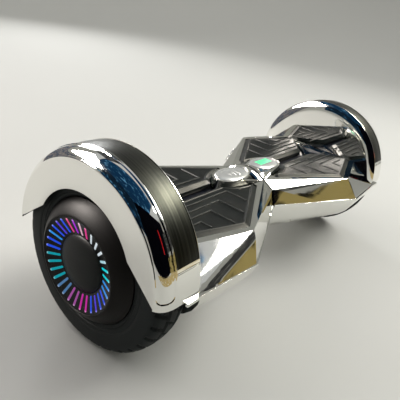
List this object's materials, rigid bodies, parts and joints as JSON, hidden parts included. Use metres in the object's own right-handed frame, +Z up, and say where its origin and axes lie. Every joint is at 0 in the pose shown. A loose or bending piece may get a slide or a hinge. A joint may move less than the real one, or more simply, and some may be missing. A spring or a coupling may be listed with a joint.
{
  "type": "self balancing hoverboard",
  "caption": "Self balancing hoverboard with twisting halves, chrome faceted body, sprung foot pads, hub motor wheels under half round fenders and lit slots round the hubs.",
  "frame": {"origin": "on the floor midway between the wheels, under the centre pivot", "axes": "+X along the wheel axle towards the right half, +Y to the back, +Z up; both halves level"},
  "size_m": [0.5992, 0.2422, 0.2254],
  "materials": {
    "chrome_plating": "mirror bright plating on moulded plastic",
    "black_trim": "brushed gloss black",
    "pad_rubber": "satin moulded rubber",
    "clear_lens": "frosted clear",
    "cast_alloy": "cast",
    "steel": "turned",
    "copper_core": "enamelled copper wire on laminated steel",
    "magnet": "nickel plated",
    "dark_alloy": "satin black coating",
    "light_guide": "lit clear plastic",
    "gloss_black": "gloss",
    "satin_black": "satin",
    "tyre_rubber": "moulded rubber",
    "circuit_board": "lacquered",
    "battery_wrap": "shrink wrapped cells",
    "bronze": "sintered",
    "wire_jacket": "plain"
  },
  "bodies": {
    "left_half": {"deck_shell_left": "chrome_plating", "lower_shell_left": "chrome_plating", "fender_left": "chrome_plating", "trim_strip_left": "black_trim", "lens_left": "clear_lens", "frame_left": "cast_alloy", "axle_clamp_left": "cast_alloy", "clamp_bolts_left": "steel", "axle_left": "steel", "stator_left": "copper_core", "sensor_board_left": "circuit_board", "shell_screws_left": "steel", "wiring_left": "wire_jacket", "battery": "battery_wrap", "pivot_shaft": "steel", "shaft_sleeve": "steel", "retaining_ring": "steel"},
    "right_half": {"deck_shell_right": "chrome_plating", "lower_shell_right": "chrome_plating", "fender_right": "chrome_plating", "trim_strip_right": "black_trim", "lens_right": "clear_lens", "frame_right": "cast_alloy", "axle_clamp_right": "cast_alloy", "clamp_bolts_right": "steel", "axle_right": "steel", "stator_right": "copper_core", "sensor_board_right": "circuit_board", "shell_screws_right": "steel", "wiring_right": "wire_jacket", "main_board": "circuit_board", "heat_sink": "cast_alloy", "pivot_bushes": "bronze", "charge_port": "steel", "power_switch": "steel"},
    "left_wheel": {"tyre_left": "tyre_rubber", "wheel_rim_left": "dark_alloy", "inner_cover_left": "dark_alloy", "hub_cover_left": "dark_alloy", "slot_plate_left": "gloss_black", "light_guide_left": "light_guide", "hub_cap_left": "satin_black", "magnets_left": "magnet", "bearings_left": "steel"},
    "right_wheel": {"tyre_right": "tyre_rubber", "wheel_rim_right": "dark_alloy", "inner_cover_right": "dark_alloy", "hub_cover_right": "dark_alloy", "slot_plate_right": "gloss_black", "light_guide_right": "light_guide", "hub_cap_right": "satin_black", "magnets_right": "magnet", "bearings_right": "steel"},
    "front_pad_left": {"front_pad_left": "pad_rubber"},
    "rear_pad_left": {"rear_pad_left": "pad_rubber"},
    "front_pad_right": {"front_pad_right": "pad_rubber"},
    "rear_pad_right": {"rear_pad_right": "pad_rubber"},
    "power_button": {"power_button": "satin_black"}
  },
  "joints": [
    {"name": "centre_twist", "type": "hinge", "parent": "left_half", "child": "right_half", "pos_m": [0, 0, 0.105], "axis": [1, 0, 0], "range_deg": [-12, 12]},
    {"name": "left_wheel_spin", "type": "hinge", "parent": "left_half", "child": "left_wheel", "pos_m": [-0.264, 0, 0.105], "axis": [1, 0, 0], "continuous": true},
    {"name": "right_wheel_spin", "type": "hinge", "parent": "right_half", "child": "right_wheel", "pos_m": [0.264, 0, 0.105], "axis": [1, 0, 0], "continuous": true},
    {"name": "front_pad_left_press", "type": "slide", "parent": "left_half", "child": "front_pad_left", "axis": [0, 0, -1], "range_m": [0, 0.0015], "stiffness_N_per_m": 3000, "springref_m": -0.001},
    {"name": "rear_pad_left_press", "type": "slide", "parent": "left_half", "child": "rear_pad_left", "axis": [0, 0, -1], "range_m": [0, 0.0015], "stiffness_N_per_m": 3000, "springref_m": -0.001},
    {"name": "front_pad_right_press", "type": "slide", "parent": "right_half", "child": "front_pad_right", "axis": [0, 0, -1], "range_m": [0, 0.0015], "stiffness_N_per_m": 3000, "springref_m": -0.001},
    {"name": "rear_pad_right_press", "type": "slide", "parent": "right_half", "child": "rear_pad_right", "axis": [0, 0, -1], "range_m": [0, 0.0015], "stiffness_N_per_m": 3000, "springref_m": -0.001},
    {"name": "power_button_press", "type": "slide", "parent": "right_half", "child": "power_button", "axis": [0.3771, -0.8596, -0.3449], "range_m": [0, 0.0015], "stiffness_N_per_m": 600, "springref_m": -0.001}
  ]
}
